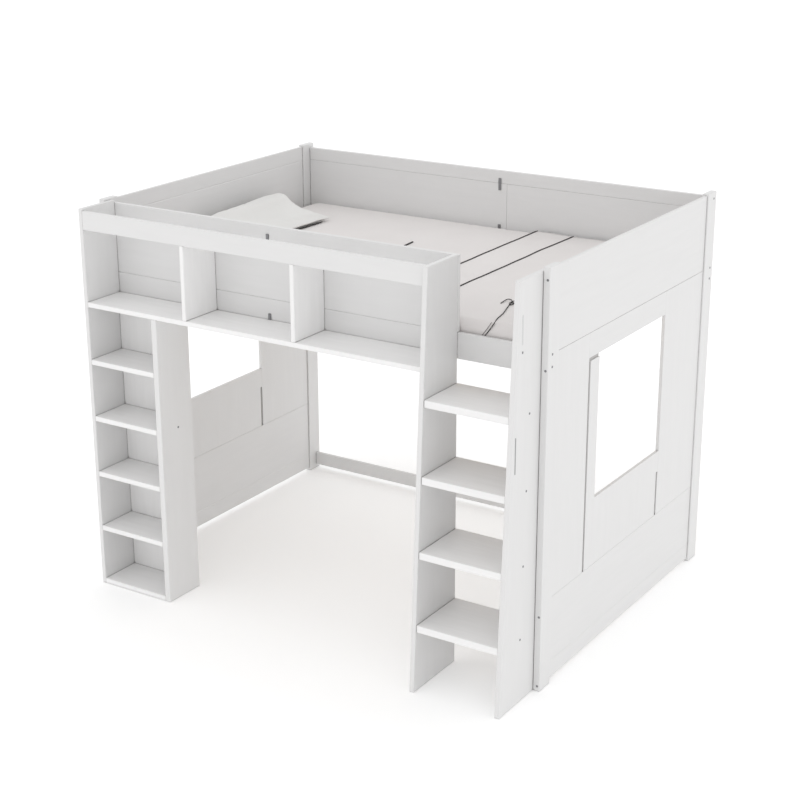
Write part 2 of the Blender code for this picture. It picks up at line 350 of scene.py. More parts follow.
@dataclass(frozen=True)
class Cotton:
    """Woven cotton: crossed threads, soft mottling and a little sheen."""

    name: str
    light: Colour
    dark: Colour
    thread_scale: float = 75.0
    weave_depth: float = 0.00025
    cloud_scale: float = 5.0
    crumple: float = 0.0012
    crumple_scale: float = 14.0
    roughness: float = 0.88
    sheen: float = 0.25
    specular: float = 0.25

    def build(self) -> bpy.types.Material:
        """Weave the cloth.

        Returns:
            The material.
        """
        sheet = NodeSheet(self.name)
        place = sheet.object_coordinates()
        threads = []
        for direction in ("X", "Y"):
            wave = sheet.add("ShaderNodeTexWave", wave_type="BANDS",
                             bands_direction=direction, in_Scale=self.thread_scale,
                             in_Distortion=0.6, in_Detail=1.0)
            sheet.link(place, wave.inputs["Vector"])
            threads.append(wave.outputs["Fac"])
        crossed = sheet.add("ShaderNodeMath", operation="MULTIPLY")
        sheet.link(threads[0], crossed.inputs[0])
        sheet.link(threads[1], crossed.inputs[1])
        clouds = sheet.noise(place, self.cloud_scale, 5.0)
        folds = sheet.noise(place, self.crumple_scale, 4.0, 0.55, 0.8)
        tone = sheet.spread(clouds, 0.0, 1.0)
        sheet.feed("Base Color", sheet.blend(tone, self.dark, self.light))
        sheet.shader.inputs["Roughness"].default_value = self.roughness
        sheet.shader.inputs["Sheen Weight"].default_value = self.sheen
        sheet.shader.inputs["Specular IOR Level"].default_value = self.specular
        normal = sheet.bump(folds, 0.5, self.crumple)
        normal = sheet.bump(crossed.outputs[0], 0.35, self.weave_depth, normal)
        sheet.feed("Normal", normal)
        return sheet.material


@dataclass(frozen=True)
class PaleFloor:
    """Seamless pale studio floor."""

    name: str = "pale_floor"
    light: Colour = (0.96, 0.96, 0.96)
    dark: Colour = (0.94, 0.94, 0.94)
    glow: float = 0.17
    cloud_scale: float = 0.7
    roughness: float = 0.9

    def build(self) -> bpy.types.Material:
        """Lay the finish.

        Returns:
            The material.
        """
        sheet = NodeSheet(self.name)
        clouds = sheet.noise(sheet.object_coordinates(), self.cloud_scale, 2.0)
        sheet.feed("Base Color", sheet.blend(clouds, self.dark, self.light))
        sheet.shader.inputs["Roughness"].default_value = self.roughness
        sheet.shader.inputs["Emission Color"].default_value = WHITE
        sheet.shader.inputs["Emission Strength"].default_value = self.glow
        return sheet.material


def smooth(obj: bpy.types.Object, degrees: float = 40.0) -> None:
    """Shade a mesh smooth, with sharp edges past an angle.

    Args:
        obj: The object.
        degrees: The angle between two faces that makes their edge sharp.
    """
    mesh = obj.data
    for face in mesh.polygons:
        face.use_smooth = True
    shape = bmesh.new()
    shape.from_mesh(mesh)
    limit = math.radians(degrees)
    for edge in shape.edges:
        if len(edge.link_faces) == 2 and edge.calc_face_angle(0.0) > limit:
            edge.smooth = False
    shape.to_mesh(mesh)
    shape.free()


def turns(count: int) -> list[float]:
    """Return evenly spaced angles that go once round."""
    return [2 * math.pi * n / count for n in range(count)]


def hang(name: str, data: bpy.types.ID) -> bpy.types.Object:
    """Put a new object with this data in the scene.

    Args:
        name: The object's name.
        data: Its mesh, light or camera.

    Returns:
        The object.
    """
    obj = bpy.data.objects.new(name, data)
    bpy.context.scene.collection.objects.link(obj)
    return obj


def from_shape(name: str, shape: bmesh.types.BMesh) -> bpy.types.Object:
    """Turn a bmesh into an object.

    Args:
        name: The name of the object and its mesh.
        shape: The geometry. It is freed.

    Returns:
        The object.
    """
    mesh = bpy.data.meshes.new(name)
    shape.to_mesh(mesh)
    shape.free()
    return hang(name, mesh)


def new_piece(name: str, shape: bmesh.types.BMesh, finish: bpy.types.Material,
              recalculate: bool = True) -> bpy.types.Object:
    """Turn a bmesh into a piece that rides on the bed.

    Args:
        name: The piece's name.
        shape: The geometry, in the row frame. It is freed.
        finish: The material.
        recalculate: Whether to turn the faces outward first.

    Returns:
        The new object.
    """
    if recalculate:
        bmesh.ops.recalc_face_normals(shape, faces=shape.faces)
    obj = from_shape(name, shape)
    obj.data.materials.append(finish)
    smooth(obj)
    return obj


def tube(shape: bmesh.types.BMesh, path: Sequence[Vector], radius: float,
         sides: int = 8, end_share: float = 0.55) -> None:
    """Add a closed round tube along a path to a bmesh, with narrowed ends.

    Args:
        shape: The bmesh.
        path: The tube's middle line.
        radius: The tube's radius.
        sides: How many faces go round it.
        end_share: The radius at its ends, as a share of the full one.
    """
    rings: list[list[bmesh.types.BMVert]] = []
    up = Vector((0.0, 0.0, 1.0))
    for index, point in enumerate(path):
        before = path[max(index - 1, 0)]
        after = path[min(index + 1, len(path) - 1)]
        ahead = (after - before).normalized()
        side = ahead.cross(up)
        if side.length < UPRIGHT_LIMIT:
            side = ahead.cross(Vector((1.0, 0.0, 0.0)))
        side.normalize()
        lift = side.cross(ahead).normalized()
        ends = index in (0, len(path) - 1)
        reach = radius * (end_share if ends else 1.0)
        rings.append([
            shape.verts.new(point + reach * (math.cos(a) * side + math.sin(a) * lift))
            for a in turns(sides)])
    for low, high in zip(rings, rings[1:]):
        for n in range(sides):
            shape.faces.new((low[n], low[(n + 1) % sides], high[(n + 1) % sides], high[n]))
    shape.faces.new(list(reversed(rings[0])))
    shape.faces.new(rings[-1])


def curve_through(points: Sequence[Point], steps: int = 8) -> list[Vector]:
    """Draw a smooth Catmull-Rom path.

    Args:
        points: The points that it goes through.
        steps: How many points it gets from one of them to the next.

    Returns:
        The path.
    """
    knots = [Vector(p) for p in points]
    knots = [2 * knots[0] - knots[1], *knots, 2 * knots[-1] - knots[-2]]
    path: list[Vector] = []
    for a, b, c, d in zip(knots, knots[1:], knots[2:], knots[3:]):
        for step in range(steps):
            t = step / steps
            path.append(0.5 * (2 * b + (c - a) * t + (2 * a - 5 * b + 4 * c - d) * t * t
                               + (3 * b - a - 3 * c + d) * t ** 3))
    path.append(knots[-2])
    return path


@dataclass
class PaintedFrame:
    """The painted boards, which keep their CAD shapes and get their paint."""

    light: Colour = (0.756, 0.752, 0.750)
    dark: Colour = (0.738, 0.734, 0.732)
    # Painted light: the steps and shelves carry the same white paint as the walls, made lighter
    # here to make up for the shade that falls on them.
    lit_shelf_light: Colour = (0.885, 0.880, 0.878)
    lit_shelf_dark: Colour = (0.845, 0.840, 0.837)
    # Painted shade: the joint strips at the bottom of the grooves get this dark paint in place
    # of the shade inside the grooves.
    groove_shade_light: Colour = (0.50, 0.49, 0.48)
    groove_shade_dark: Colour = (0.46, 0.45, 0.44)
    shelf_grain_depth: float = 0.00020

    def paints(self) -> dict[tuple[str, Grain], bpy.types.Material]:
        """Mix one paint for each slot and grain direction.

        Returns:
            The paints, by slot and grain.
        """
        made = {}
        for grain in Grain:
            axis = grain.name[-1].lower()
            made["white_paint", grain] = PaintedBoard(
                f"wall_paint_{axis}", self.light, self.dark, grain).build()
            # Painted light: a lighter copy of the white paint for the steps and shelves.
            made["shelf_paint", grain] = PaintedBoard(
                f"step_paint_{axis}", self.lit_shelf_light, self.lit_shelf_dark, grain,
                grain_depth=self.shelf_grain_depth).build()
        return made

    @staticmethod
    def grain_of(node: str) -> Grain:
        """Find the direction of a board's longest side.

        Args:
            node: The board's node.

        Returns:
            The grain.
        """
        low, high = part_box(node)
        sizes = [high[i] - low[i] for i in range(3)]
        return list(Grain)[sizes.index(max(sizes))]

    def dress(self) -> None:
        """Give every painted, wooden and metal CAD node its finish."""
        paints = self.paints()
        bare = {"slat_wood": PlanedPine().build(), "zinc_metal": ZincSteel().build()}
        slots = {row["node"]: row["material_slot"] for row in frame["record"]["subparts"]}
        shade = PaintedBoard("joint_shade", self.groove_shade_light, self.groove_shade_dark,
                             Grain.ALONG_Z).build()
        dressed = 0
        for node, obj in frame["nodes"].items():
            slot = slots[node]
            # Painted shade: joint strips get the dark paint that stands in for the shade in
            # their grooves.
            if "_joint_" in node:
                finish = shade
            elif slot in ("white_paint", "shelf_paint"):
                finish = paints[slot, self.grain_of(node)]
            elif slot in bare:
                finish = bare[slot]
            else:
                continue
            for place in obj.material_slots:
                place.material = finish
            dressed += 1
        LOG.info("painted frame: %d boards dressed", dressed)


@dataclass
class ScrewHeads:
    """Screw heads set by one Geometry Nodes tree on the boards' faces."""

    diameter: float = 0.0095
    rise: float = 0.0012
    socket_deep: float = 0.0010
    facets: int = 16
    crease: float = 35.0            # the angle of a sharp edge, in degrees
    socket_reach: float = 0.20      # of the diameter, to a corner of the hexagon
    side_heights: tuple[float, ...] = (1.626, 1.331, 1.284)
    front_heights: tuple[float, ...] = (1.607, 1.275, 0.310, 0.022)
    front_post_top: float = 1.6     # the front posts have no side screw above this
    front_shift: float = -0.010
    back_shift: float = 0.014
    front_inset: float = 0.010
    tower_inset: float = 0.105
    step_inset: float = 0.152       # from the back edge, at the first step
    step_lean: float = 0.011        # less at each step above it
    steps: int = 4
    ladder_top: tuple[float, float] = (0.180, 1.378)
    places: list[tuple[Point, Point]] = field(default_factory=list)

    def gather(self) -> None:
        """Work out where the screws sit from the boards' boxes."""
        for side, out in (("head", -1.0), ("foot", 1.0)):
            for end in ("front", "back"):
                low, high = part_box(f"{side}_post_{end}")
                front = end == "front"
                face = high[0] if side == "foot" else low[0]
                middle = (low[1] + high[1]) / 2
                middle += self.front_shift if front else self.back_shift
                for height in self.side_heights:
                    if front and height > self.front_post_top:
                        continue
                    self.places.append(((face, middle, height), (out, 0.0, 0.0)))
                for height in self.front_heights if front else ():
                    self.places.append(((face - out * self.front_inset, low[1], height),
                                        (0.0, -1.0, 0.0)))
        self.ladder_screws()
        low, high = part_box("tower_shelf_4")
        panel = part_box("tower_right_panel")[1][0]
        self.places.append(((panel, low[1] + self.tower_inset, (low[2] + high[2]) / 2),
                            (1.0, 0.0, 0.0)))

    def ladder_screws(self) -> None:
        """Add the screw at the end of each ladder step and one near the top."""
        _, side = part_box("ladder_right_side")
        face, back = side[0], side[1]
        for number in range(self.steps):
            low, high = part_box(f"ladder_step_{number + 1}")
            depth = self.step_inset - self.step_lean * number
            self.places.append(((face, back - depth, (low[2] + high[2]) / 2),
                                (1.0, 0.0, 0.0)))
        depth, height = self.ladder_top
        self.places.append(((face, back - depth, height), (1.0, 0.0, 0.0)))

    def head(self) -> bpy.types.Object:
        """Make one screw head of unit diameter: a low dome with a hexagonal socket.

        Returns:
            The head.
        """
        shape = bmesh.new()
        rise, deep = self.rise / self.diameter, self.socket_deep / self.diameter
        profile = [(0.5, 0.0), (0.47, rise * 0.7), (0.38, rise), (0.26, rise)]
        rings = []
        for radius, height in profile:
            rings.append([shape.verts.new((radius * math.cos(a), radius * math.sin(a), height))
                          for a in turns(self.facets)])
        for height in (rise, rise - deep):
            ring = []
            for angle in turns(self.facets):
                sector = (angle % (math.pi / 3)) - math.pi / 6
                reach = self.socket_reach * math.cos(math.pi / 6) / math.cos(sector)
                ring.append(shape.verts.new((reach * math.cos(angle),
                                             reach * math.sin(angle), height)))
            rings.append(ring)
        for low, high in zip(rings, rings[1:]):
            for n in range(self.facets):
                m = (n + 1) % self.facets
                shape.faces.new((low[n], low[m], high[m], high[n]))
        shape.faces.new(rings[-1])
        shape.faces.new(list(reversed(rings[0])))
        bmesh.ops.recalc_face_normals(shape, faces=shape.faces)
        return from_shape("screw_head_shape", shape)

    @staticmethod
    def tree() -> tuple[bpy.types.NodeTree, dict[str, str]]:
        """Build the tree that sets a head on every place.

        Returns:
            The tree, and the identifier of each named input.
        """
        group = bpy.data.node_groups.new("screw_rows", "GeometryNodeTree")
        face = group.interface
        names = {}
        for name, kind in (("Places", "NodeSocketGeometry"), ("Head", "NodeSocketObject"),
                           ("Diameter", "NodeSocketFloat"), ("Finish", "NodeSocketMaterial")):
            names[name] = face.new_socket(name=name, in_out="INPUT",
                                          socket_type=kind).identifier
        face.new_socket(name="Screws", in_out="OUTPUT", socket_type="NodeSocketGeometry")
        new = group.nodes.new
        entry, leave = new("NodeGroupInput"), new("NodeGroupOutput")
        info, facing = new("GeometryNodeObjectInfo"), new("GeometryNodeInputNamedAttribute")
        facing.data_type = "FLOAT_VECTOR"
        facing.inputs["Name"].default_value = "facing"
        turn, put = new("FunctionNodeAlignRotationToVector"), new("GeometryNodeInstanceOnPoints")
        turn.axis = "Z"
        solid, paint = new("GeometryNodeRealizeInstances"), new("GeometryNodeSetMaterial")
        link = group.links.new
        link(entry.outputs["Places"], put.inputs["Points"])
        link(entry.outputs["Head"], info.inputs["Object"])
        link(info.outputs["Geometry"], put.inputs["Instance"])
        link(facing.outputs["Attribute"], turn.inputs["Vector"])
        link(turn.outputs["Rotation"], put.inputs["Rotation"])
        link(entry.outputs["Diameter"], put.inputs["Scale"])
        link(put.outputs["Instances"], solid.inputs["Geometry"])
        link(solid.outputs["Geometry"], paint.inputs["Geometry"])
        link(entry.outputs["Finish"], paint.inputs["Material"])
        link(paint.outputs["Geometry"], leave.inputs["Screws"])
        return group, names

    def build(self, finish: bpy.types.Material) -> None:
        """Set all the heads and turn them into one plain mesh.

        Args:
            finish: The metal.
        """
        self.gather()
        mesh = bpy.data.meshes.new("screw_places")
        mesh.from_pydata([place for place, _ in self.places], [], [])
        facing = mesh.attributes.new("facing", "FLOAT_VECTOR", "POINT")
        for item, (_, way) in zip(facing.data, self.places):
            item.vector = way
        carrier = hang("screw_places", mesh)
        group, names = self.tree()
        head = self.head()
        modifier = carrier.modifiers.new("screw_rows", "NODES")
        modifier.node_group = group
        modifier[names["Head"]] = head
        modifier[names["Diameter"]] = self.diameter
        modifier[names["Finish"]] = finish
        graph = bpy.context.evaluated_depsgraph_get()
        solid = bpy.data.meshes.new_from_object(carrier.evaluated_get(graph))
        bpy.data.objects.remove(carrier, do_unlink=True)
        bpy.data.objects.remove(head, do_unlink=True)
        solid.name = "screw_heads"
        heads = hang("screw_heads", solid)
        smooth(heads, self.crease)
        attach(heads, BODY)
        LOG.info("screw heads: %d", len(self.places))


@dataclass(frozen=True)
class Slot:
    """One upright slot: its name, its middle line's Y, its heights and its width."""

    name: str
    middle: float
    low: float
    high: float
    wide: float


@dataclass
class GripSlots:
    """The two upright slots on the ladder's outer face, drawn as thin grey pieces of painted
    shade set into it.
    """

    lower: Slot = Slot("grip_slot_lower", -0.7825, 0.936, 1.075, 0.007)
    upper: Slot = Slot("grip_slot_upper", -0.7465, 1.405, 1.514, 0.009)
    deep: float = 0.0020
    proud: float = 0.0004
    arc: int = 10

    def capsule(self, shape: bmesh.types.BMesh, face: float, slot: Slot) -> None:
        """Add one upright round-ended piece of painted slot shade to a bmesh.

        Args:
            shape: The bmesh.
            face: The X of the board's outer face.
            slot: The slot.
        """
        radius = slot.wide / 2
        outline = []
        for centre, start in ((slot.high - radius, 0.0), (slot.low + radius, math.pi)):
            for step in range(self.arc + 1):
                angle = start + math.pi * step / self.arc
                outline.append((slot.middle + radius * math.cos(angle),
                                centre + radius * math.sin(angle)))
        sides = [[shape.verts.new((x, y, z)) for y, z in outline]
                 for x in (face - self.deep, face + self.proud)]
        count = len(outline)
        for n in range(count):
            m = (n + 1) % count
            shape.faces.new((sides[0][n], sides[0][m], sides[1][m], sides[1][n]))
        shape.faces.new(sides[1])
        shape.faces.new(list(reversed(sides[0])))

    def build(self, dark: bpy.types.Material, pale: bpy.types.Material) -> None:
        """Lay both slots on the ladder.

        Args:
            dark: The painted shade of the lower slot.
            pale: The lighter painted shade of the upper slot.
        """
        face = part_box("ladder_right_side")[1][0]
        for slot, finish in ((self.lower, dark), (self.upper, pale)):
            shape = bmesh.new()
            self.capsule(shape, face, slot)
            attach(new_piece(slot.name, shape, finish), BODY)
        LOG.info("grip slots laid")


@dataclass
class Mattress:
    """The full-size mattress: rounded, slightly crowned, with a corded border."""

    radius: float = 0.032
    crown: float = 0.004
    dip: float = 0.0016
    dip_scale: float = 5.0
    cuts: int = 46
    cord: float = 0.0035
    cord_proud: float = 0.0005
    cord_steps: int = 6
    fill: float = 0.9
    low: Vector = field(default_factory=lambda: Vector(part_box("mattress")[0]))
    high: Vector = field(default_factory=lambda: Vector(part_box("mattress")[1]))

    def sag(self, x: float, y: float) -> float:
        """Return how far the top dips at a place."""
        return self.dip * (1 + noise.noise(
            Vector((x * self.dip_scale, y * self.dip_scale, 1.7))))

    def surface(self, x: float, y: float) -> float:
        """Work out the height of the mattress's top.

        Args:
            x: The place's X.
            y: The place's Y.

        Returns:
            The height.
        """
        middle, half = (self.low + self.high) / 2, (self.high - self.low) / 2
        u = min(abs(x - middle.x) / half.x, 1.0)
        v = min(abs(y - middle.y) / half.y, 1.0)
        top = self.high.z - self.crown + self.crown * (1 - u ** 6) * (1 - v ** 6)
        top -= self.sag(x, y)
        for near, size in ((1 - u, half.x), (1 - v, half.y)):
            inside = near * size
            if inside < self.radius:
                drop = self.radius - math.sqrt(
                    max(self.radius ** 2 - (self.radius - inside) ** 2, 0.0))
                top -= drop
        return top

    def build(self, finish: bpy.types.Material) -> bpy.types.Object:
        """Build the mattress and its corded borders.

        Args:
            finish: Its ticking.

        Returns:
            The mattress.
        """
        middle, half = (self.low + self.high) / 2, (self.high - self.low) / 2
        shape = bmesh.new()
        bmesh.ops.create_cube(shape, size=2.0)
        bmesh.ops.subdivide_edges(shape, edges=shape.edges, cuts=self.cuts,
                                  use_grid_fill=True)
        inner = [half[i] - self.radius for i in range(3)]
        for vert in shape.verts:
            spread = [math.sin(vert.co[i] * math.pi / 2) for i in range(3)]
            place = Vector(spread[i] * half[i] for i in range(3))
            core = Vector(max(-inner[i], min(inner[i], place[i])) for i in range(3))
            way = place - core
            if way.length > 1e-9:
                place = core + way.normalized() * self.radius
            vert.co = place + middle
            if place.z > inner[2]:
                flat = max(abs(place.x) / half.x, abs(place.y) / half.y)
                vert.co.z -= self.sag(vert.co.x, vert.co.y) * (1 - flat ** 8)
        piece = new_piece("mattress_body", shape, finish)
        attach(piece, BODY)
        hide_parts("mattress")
        border = bmesh.new()
        for level in (self.high.z - self.radius, self.low.z + self.radius):
            self.border(border, level)
        cords = new_piece("mattress_border_cords", border, finish)
        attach(cords, BODY)
        LOG.info("mattress: %d faces", len(piece.data.polygons))
        return piece

    def border(self, shape: bmesh.types.BMesh, level: float) -> None:
        """Add the cord sewn round the mattress at one level.

        Args:
            shape: The bmesh.
            level: The cord's height.
        """
        middle = (self.low + self.high) / 2
        corners = ((self.high.x, self.high.y, 0), (self.low.x, self.high.y, 1),
                   (self.low.x, self.low.y, 2), (self.high.x, self.low.y, 3))
        path: list[Vector] = []
        for x, y, quarter in corners:
            centre = Vector((x - math.copysign(self.radius, x - middle.x),
                             y - math.copysign(self.radius, y - middle.y), level))
            for step in range(self.cord_steps + 1):
                angle = math.pi / 2 * (quarter + step / self.cord_steps)
                path.append(centre + (self.radius + self.cord_proud) * Vector(
                    (math.cos(angle), math.sin(angle), 0.0)))
        path.append(path[0].copy())
        tube(shape, path, self.cord)


@dataclass(frozen=True)
class Swell:
    """A soft rise on a pillow: its height, middle and reach, in half sizes."""

    height: float
    u: float
    v: float
    reach_u: float
    reach_v: float

    def at(self, u: float, v: float) -> float:
        """Return the rise at a place on the pillow."""
        return self.height * math.exp(-((v - self.v) / self.reach_v) ** 2
                                      - ((u - self.u) / self.reach_u) ** 2)


@dataclass
class Pillow:
    """The pillow at the head end, blown up by a short cloth simulation."""

    voxel: float = 0.009
    pressure: float = 4.0
    frames: int = 20
    cap: float = 0.020
    cuts: int = 14
    pinch: float = 0.055            # how far the sides pull in between the corners
    seam: float = 0.006
    clear: float = 0.0012           # between the pillow and what it lies on
    rise_limit: float = 0.010       # how far it may stand past its solid
    lean: float = 0.74              # how high it stands in the middle, as a share
    lean_fall: float = 0.36         # how much less at the foot side, more at the head
    peaks: tuple[Swell, ...] = (Swell(0.34, -0.70, 0.10, 0.50, 0.70),
                                Swell(0.26, -0.70, 0.50, 0.42, 0.26))
    dent: Swell = Swell(0.16, 0.10, -0.30, 0.50, 0.45)
    crease: float = 0.0050
    ripple: float = 0.0016
    sink: float = 0.004
    fill: float = 0.6
    # the radius of the dark tube laid along the foot-side edge
    piping: float = 0.0030
    edge_row: float = 0.02
    edge_skip: int = 3
    edge_reach: int = 2
    edge: list[Vector] = field(default_factory=list)

    def foot_edge(self, mesh: bpy.types.Mesh, rest: Ground) -> list[Vector]:
        """Find the line along the pillow's edge on the side that faces the bed's foot.

        Args:
            mesh: The settled pillow.
            rest: The height of what it lies on.

        Returns:
            The line, from one corner to the other.
        """
        rows: dict[int, Vector] = {}
        for vert in mesh.vertices:
            row = round(vert.co.y / self.edge_row)
            if row not in rows or vert.co.x > rows[row].x:
                rows[row] = vert.co.copy()
        line = [rows[row] for row in sorted(rows)[self.edge_skip:-self.edge_skip]]
        path = []
        for n, point in enumerate(line):
            near = line[max(n - self.edge_reach, 0):n + self.edge_reach + 1]
            path.append(Vector((sum(other.x for other in near) / len(near) + 0.001, point.y,
                                rest(point.x, point.y) + self.piping + 0.003)))
        return path

    def trim(self, finish: bpy.types.Material) -> None:
        """Lay a dark tube on the mattress along the foot side of the pillow.

        Args:
            finish: The dark cloth.
        """
        shape = bmesh.new()
        tube(shape, self.edge, self.piping)
        piping = new_piece("pillow_piping", shape, finish)
        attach(piping, BODY)

    def blank(self, low: Vector, high: Vector) -> bpy.types.Object:
        """Make the flat pillow before it is blown up, in place.

        Args:
            low: The lower corner of its box.
            high: The upper corner of its box.

        Returns:
            The blank.
        """
        middle, half = (low + high) / 2, (high - low) / 2
        shape = bmesh.new()
        bmesh.ops.create_cube(shape, size=2.0)
        bmesh.ops.subdivide_edges(shape, edges=shape.edges, cuts=self.cuts,
                                  use_grid_fill=True)
        for vert in shape.verts:
            u, v, w = vert.co
            pull = 1.0 - self.pinch * ((1 - u * u) * v * v + (1 - v * v) * u * u)
            thick = (1 - abs(u) ** 3.2) ** 0.5 * (1 - abs(v) ** 3.2) ** 0.5
            vert.co = middle + Vector((
                half.x * 0.95 * u * pull, half.y * 0.97 * v * pull,
                w * (self.seam + (half.z * 0.84 - self.seam) * thick)))
        return from_shape("pillow_blank", shape)

    def inflate(self, obj: bpy.types.Object) -> None:
        """Remesh the blank, run the cloth and keep its capped result.

        Args:
            obj: The blank.
        """
        remesh = obj.modifiers.new("remesh", "REMESH")
        remesh.mode = "VOXEL"
        remesh.voxel_size = self.voxel
        graph = bpy.context.evaluated_depsgraph_get()
        even = bpy.data.meshes.new_from_object(obj.evaluated_get(graph))
        obj.modifiers.clear()
        obj.data = even
        start = [vert.co.copy() for vert in even.vertices]
        cloth = obj.modifiers.new("cloth", "CLOTH")
        cloth.settings.use_pressure = True
        cloth.settings.uniform_pressure_force = self.pressure
        cloth.settings.effector_weights.gravity = 0.0
        cloth.settings.tension_stiffness = 25.0
        cloth.settings.bending_stiffness = 0.4
        cloth.point_cache.frame_end = self.frames
        scene = bpy.context.scene
        for number in range(1, self.frames + 1):
            scene.frame_set(number)
        graph = bpy.context.evaluated_depsgraph_get()
        blown = bpy.data.meshes.new_from_object(obj.evaluated_get(graph))
        obj.modifiers.clear()
        for vert, before in zip(blown.vertices, start):
            move = vert.co - before
            if move.length > self.cap:
                vert.co = before + move.normalized() * self.cap
        obj.data = blown
        scene.frame_set(1)

    def settle(self, mesh: bpy.types.Mesh, low: Vector, high: Vector,
               rest: Ground) -> None:
        """Prop the pillow up on the head wall and lay its underside on the mattress.

        Args:
            mesh: The pillow.
            low: The lower corner of its box.
            high: The upper corner of its box.
            rest: The height of what it lies on.
        """
        middle = (low + high) / 2
        for vert in mesh.vertices:
            place = vert.co
            u = (place.x - middle.x) / (high.x - low.x) * 2
            v = (place.y - middle.y) / (high.y - low.y) * 2
            floor = rest(place.x, place.y) + self.clear
            up = max(place.z - low.z, 0.0)
            slope = self.lean - self.lean_fall * math.sin(
                max(-1.0, min(1.0, u * 0.95)) * math.pi / 2)
            swell = sum(peak.at(u, v) for peak in self.peaks) - self.dent.at(u, v)
            crease = noise.noise(Vector((place.x * 13, place.y * 6, 3.0)))
            ripple = noise.noise(Vector((place.x * 30, place.y * 14, 9.0)))
            share = min(up * 30, 1.0)
            up = up * (slope + swell) + (self.crease * crease + self.ripple * ripple) * share
            place.z = floor + max(up - self.sink, 0.0)
            place.x = max(place.x, low.x)
            place.z = min(place.z, high.z + self.rise_limit)

    def build(self, finish: bpy.types.Material, rest: Ground) -> bpy.types.Object:
        """Build the pillow.

        Args:
            finish: Its cotton.
            rest: The height of what it lies on, at a place.

        Returns:
            The pillow.
        """
        low, high = (Vector(corner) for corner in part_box("pillow"))
        obj = self.blank(low, high)
        self.inflate(obj)
        self.settle(obj.data, low, high, rest)
        obj.name = "pillow_body"
        obj.data.materials.clear()
        obj.data.materials.append(finish)
        for face in obj.data.polygons:
            face.use_smooth = True
        self.edge = self.foot_edge(obj.data, rest)
        finer = obj.modifiers.new("finer", "SUBSURF")
        finer.levels = finer.render_levels = 1
        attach(obj, BODY)
        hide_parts("pillow")
        LOG.info("pillow: %d faces", len(obj.data.polygons))
        return obj


